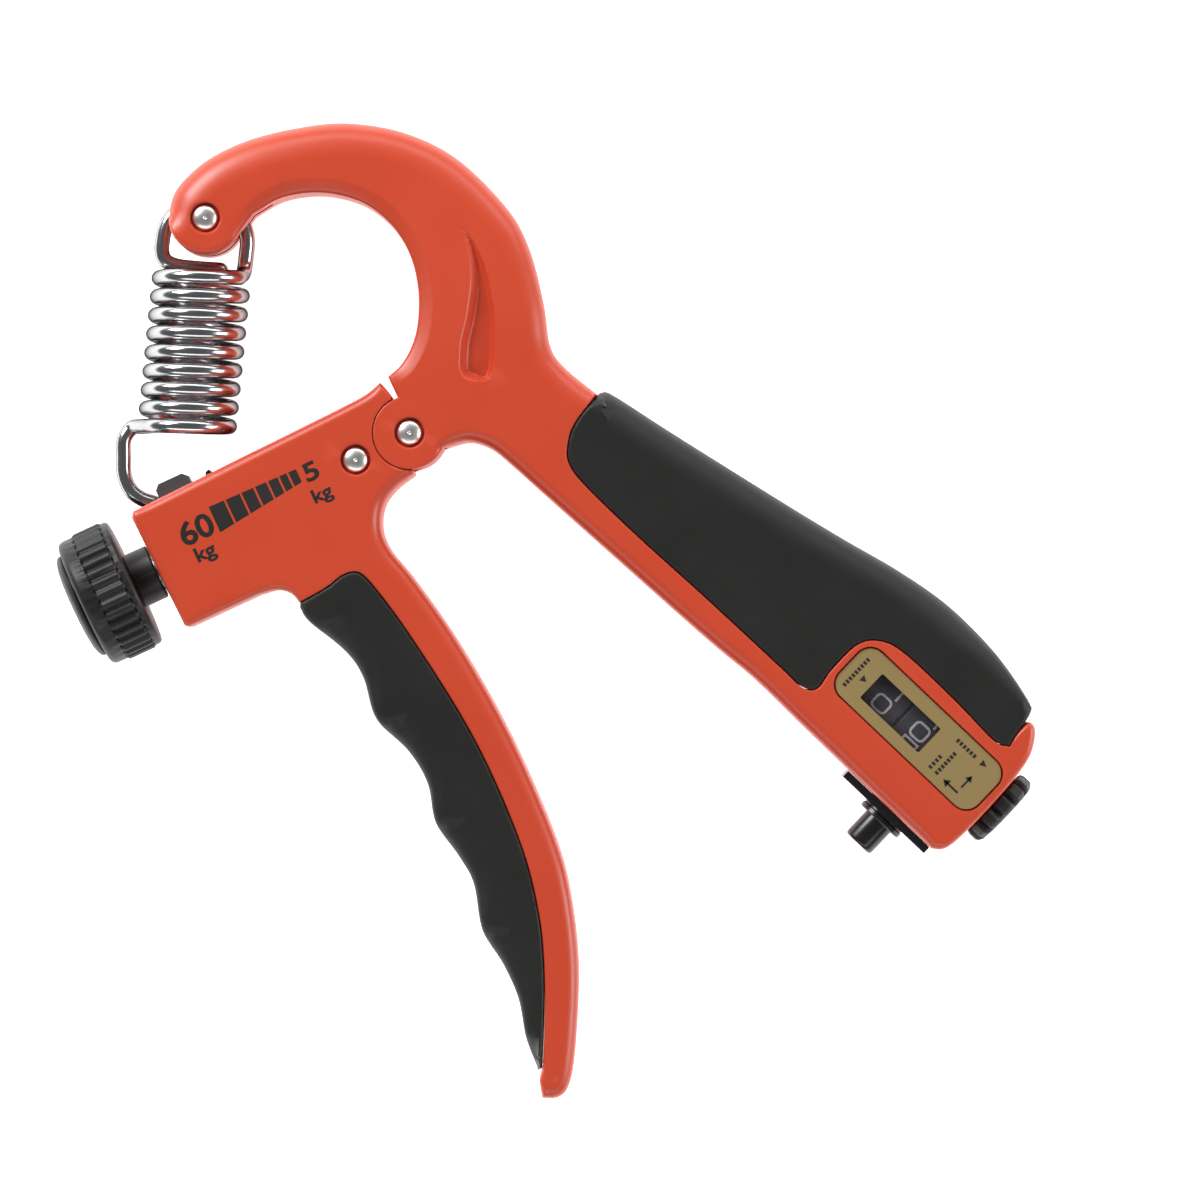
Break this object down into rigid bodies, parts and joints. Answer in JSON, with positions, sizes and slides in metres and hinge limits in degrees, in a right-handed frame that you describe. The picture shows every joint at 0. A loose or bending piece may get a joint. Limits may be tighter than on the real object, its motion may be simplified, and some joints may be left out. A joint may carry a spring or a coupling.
{
  "type": "hand grip strengthener",
  "caption": "Adjustable hand grip strengthener: two levers on a pivot with a hooked coil spring, a load knob and a squeeze counter.",
  "frame": {"origin": "middle of the footprint, on the surface that the object lies on", "axes": "+Z from the resting back face to the face with the scale and counter, +Y from the handles to the spring hook, +X from the load knob to the palm lever"},
  "size_m": [0.1352, 0.163, 0.023],
  "materials": {
    "orange_shell": "satin orange ABS with a fine moulded grain",
    "rubber_grip": "matt black soft-touch rubber",
    "black_knob": "black plastic with moulded ribs",
    "black_plastic": "glossy black plastic",
    "spring_wire": "bright nickel-plated spring steel",
    "steel_parts": "turned bright steel",
    "chrome_rivet": "polished rivet heads",
    "casing_screw": "zinc-plated cross-head screws",
    "nylon": "natural white nylon",
    "gold_label": "satin gold anodised plate with black print",
    "window": "clear plastic window",
    "number_wheel": "dark grey wheels with pale digits"
  },
  "bodies": {
    "finger_lever": {"finger_front_shell": "orange_shell", "finger_back_shell": "orange_shell", "finger_grip": "rubber_grip", "housing_rivet": "chrome_rivet", "finger_casing_screw_1": "casing_screw", "finger_casing_screw_2": "casing_screw", "finger_casing_screw_3": "casing_screw", "finger_casing_screw_4": "casing_screw", "pivot_bush": "steel_parts", "screw_bush": "black_plastic", "screw_end_bush": "black_plastic"},
    "palm_lever": {"palm_front_shell": "orange_shell", "palm_back_shell": "orange_shell", "palm_grip": "rubber_grip", "pivot_rivet": "chrome_rivet", "hook_rivet": "chrome_rivet", "palm_casing_screw_1": "casing_screw", "palm_casing_screw_2": "casing_screw", "palm_casing_screw_3": "casing_screw", "palm_casing_screw_4": "casing_screw", "pivot_washer_front": "nylon", "pivot_washer_back": "nylon", "counter_label": "gold_label", "counter_window": "window", "counter_frame": "black_plastic", "carry_axle": "steel_parts", "counter_base_plate": "black_plastic", "plunger_guide": "black_plastic", "plunger_spring": "spring_wire"},
    "load_knob": {"adjuster_knob": "black_knob", "knob_cap": "black_knob", "lead_screw": "steel_parts", "thrust_collar": "steel_parts"},
    "load_nut": {"load_nut": "steel_parts", "nut_pin": "steel_parts", "nut_slider": "black_plastic"},
    "spring_hanger": {"spring_bush": "steel_parts", "spring_upper_loop": "spring_wire"},
    "spring_upper": {"spring_coil_upper": "spring_wire"},
    "spring_lower": {"spring_coil_lower": "spring_wire"},
    "spring_end": {"spring_lower_hook": "spring_wire"},
    "count_plunger": {"plunger": "black_plastic", "plunger_pawl": "nylon"},
    "reset_shaft": {"reset_knob": "black_knob", "counter_shaft": "steel_parts"},
    "units_wheel": {"units_wheel": "number_wheel"},
    "tens_wheel": {"tens_wheel": "number_wheel"},
    "carry_pinion": {"carry_pinion": "nylon"}
  },
  "joints": [
    {"name": "squeeze", "type": "hinge", "parent": "finger_lever", "child": "palm_lever", "pos_m": [-0.00541, 0.02678, 0.0115], "axis": [0, 0, -1], "range_deg": [0, 30.5], "stiffness_Nm_per_rad": 8},
    {"name": "load_adjust", "type": "hinge", "parent": "finger_lever", "child": "load_knob", "pos_m": [-0.06761, 0.02398, 0.0115], "axis": [1, 0, 0], "range_deg": [-3870, 0]},
    {"name": "nut_travel", "type": "slide", "parent": "finger_lever", "child": "load_nut", "axis": [-1, 0, 0], "range_m": [-0.0216, 0]},
    {"name": "spring_swing", "type": "hinge", "parent": "palm_lever", "child": "spring_hanger", "pos_m": [-0.02081, 0.07268, 0.0115], "axis": [0, 0, 1], "range_deg": [0, 12]},
    {"name": "spring_tilt", "type": "hinge", "parent": "spring_hanger", "child": "spring_upper", "pos_m": [-0.02081, 0.07268, 0.0115], "axis": [0, 0, 1], "range_deg": [0, 27.6], "deforming": ["spring_upper_loop"]},
    {"name": "spring_stretch", "type": "slide", "parent": "spring_upper", "child": "spring_lower", "axis": [-0.5092, -0.8607, 0], "range_m": [0, 0.018], "deforming": ["spring_coil_upper", "spring_coil_lower"]},
    {"name": "spring_relax", "type": "slide", "parent": "spring_lower", "child": "spring_end", "axis": [-0.5092, -0.8607, 0], "range_m": [-0.0066, 0], "deforming": ["spring_lower_hook"]},
    {"name": "count_push", "type": "slide", "parent": "palm_lever", "child": "count_plunger", "axis": [0.9304, 0.3665, 0], "range_m": [0, 0.003], "stiffness_N_per_m": 150, "deforming": ["plunger_spring"]},
    {"name": "reset_turn", "type": "hinge", "parent": "palm_lever", "child": "reset_shaft", "pos_m": [0.04774, -0.04842, 0.015], "axis": [0.3665, -0.9304, 0], "continuous": true},
    {"name": "units_turn", "type": "hinge", "parent": "palm_lever", "child": "units_wheel", "pos_m": [0.04774, -0.04842, 0.015], "axis": [0.3665, -0.9304, 0], "continuous": true},
    {"name": "tens_turn", "type": "hinge", "parent": "palm_lever", "child": "tens_wheel", "pos_m": [0.04774, -0.04842, 0.015], "axis": [0.3665, -0.9304, 0], "continuous": true},
    {"name": "carry_turn", "type": "hinge", "parent": "palm_lever", "child": "carry_pinion", "pos_m": [0.04774, -0.04842, 0.0072], "axis": [0.3665, -0.9304, 0], "continuous": true}
  ],
  "couplings": [
    {"joint": "nut_travel", "follows": "load_adjust", "m_per_rad": 0.00031831},
    {"joint": "spring_swing", "follows": "squeeze", "ratio": 0.37475},
    {"joint": "spring_stretch", "follows": "squeeze", "m_per_rad": 0.033359},
    {"joint": "spring_tilt", "follows": "load_adjust", "ratio": -0.0070305},
    {"joint": "spring_relax", "follows": "load_adjust", "m_per_rad": 0.000095772},
    {"joint": "tens_turn", "follows": "units_turn", "ratio": 0.1},
    {"joint": "carry_turn", "follows": "units_turn", "ratio": -0.25}
  ]
}
